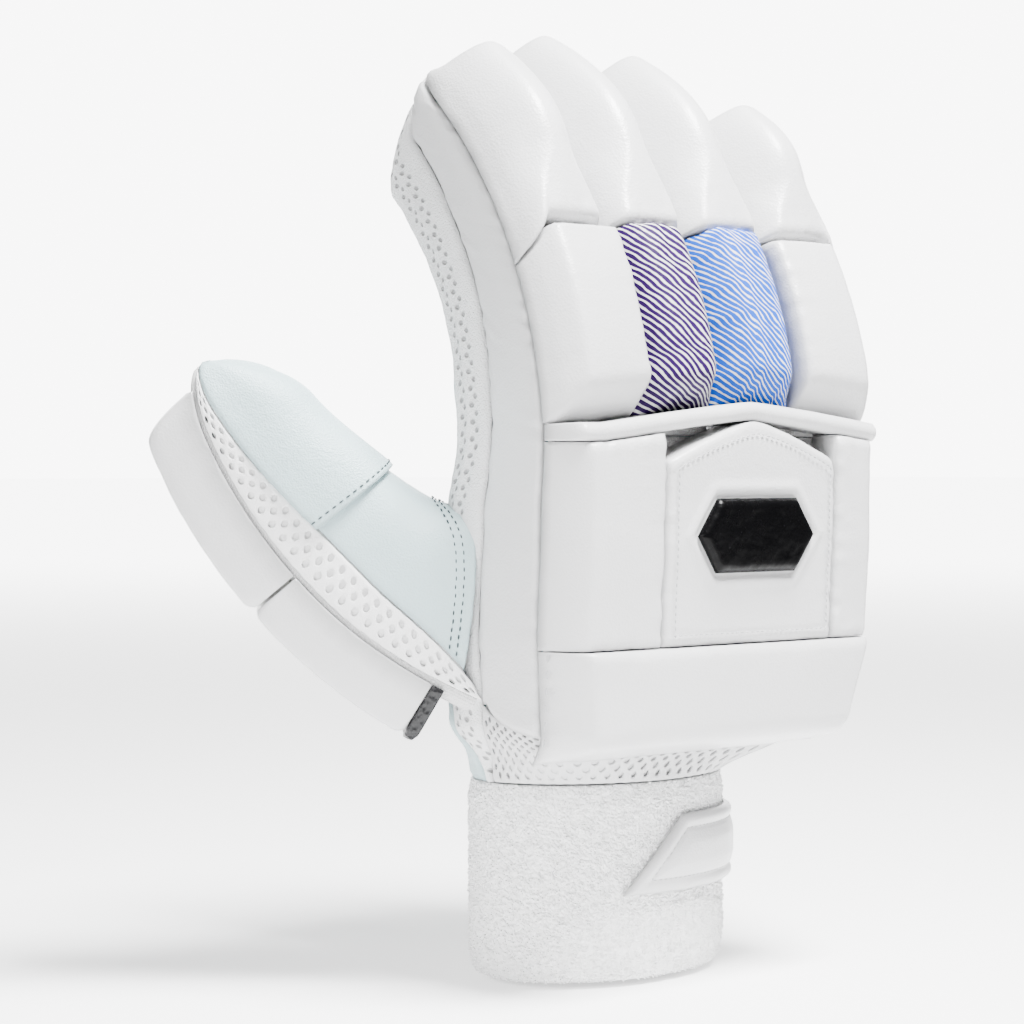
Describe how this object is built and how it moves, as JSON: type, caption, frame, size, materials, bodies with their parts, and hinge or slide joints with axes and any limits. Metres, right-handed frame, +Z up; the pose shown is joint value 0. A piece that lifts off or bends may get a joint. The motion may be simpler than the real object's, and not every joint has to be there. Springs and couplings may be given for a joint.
{
  "type": "cricket batting glove",
  "caption": "Right-hand batting glove: hollow leather hand with thick protective pads over the back, fingers and thumb, a mesh wrist and a towelling wristband with a strap.",
  "frame": {"origin": "middle of the wrist opening, at the hem of the wristband", "axes": "+Z up the hand to the fingertips, -Y out of the back of the hand where the pads are, -X to the thumb"},
  "size_m": [0.2159, 0.1334, 0.2979],
  "materials": {
    "white_leather": "smooth white coated leather with a soft gloss",
    "palm_leather": "soft pale blue-grey leather, fine grain, matt",
    "suede": "white brushed suede cloth with rows of needle holes",
    "knit": "white knit",
    "air_mesh": "white open air mesh with round holes",
    "towelling": "white towelling",
    "violet_print": "white coated leather printed with dark violet hatching",
    "blue_print": "white coated leather printed with blue hatching",
    "black_gel": "glossy black soft plastic",
    "dark_lining": "dark lining with a slight shine"
  },
  "bodies": {
    "root": {"wristband": "towelling", "closing_strap": "white_leather", "wrist_mesh": "air_mesh", "back_base": "knit", "palm_leather": "palm_leather", "side_bar_index": "white_leather", "side_welt_index": "suede", "side_bar_index_finger": "white_leather", "side_welt_index_finger": "suede", "side_bar_little": "white_leather", "side_welt_little": "suede", "side_bar_little_finger": "white_leather", "side_welt_little_finger": "suede", "finger_back_index": "knit", "finger_back_middle": "knit", "finger_back_ring": "knit", "finger_back_little": "knit", "finger_leather_index": "palm_leather", "finger_leather_middle": "palm_leather", "finger_leather_ring": "palm_leather", "finger_leather_little": "palm_leather", "wrist_bar": "white_leather", "back_pad_thumb_side": "white_leather", "back_pad_little_side": "white_leather", "back_pad_centre": "white_leather", "badge": "black_gel", "piping": "white_leather", "knuckle_pad_index": "white_leather", "knuckle_pad_middle": "violet_print", "knuckle_pad_ring": "blue_print", "knuckle_pad_little": "white_leather", "finger_roll_index": "white_leather", "finger_roll_middle": "white_leather", "finger_roll_ring": "white_leather", "finger_roll_little": "white_leather", "thumb_leather_base": "palm_leather", "thumb_leather_tip": "palm_leather", "thumb_back": "knit", "thumb_mesh_front": "air_mesh", "thumb_mesh_rear": "air_mesh", "thumb_pad_base": "white_leather", "thumb_pad_tip": "white_leather", "thumb_pad_liner": "dark_lining"}
  },
  "joints": []
}
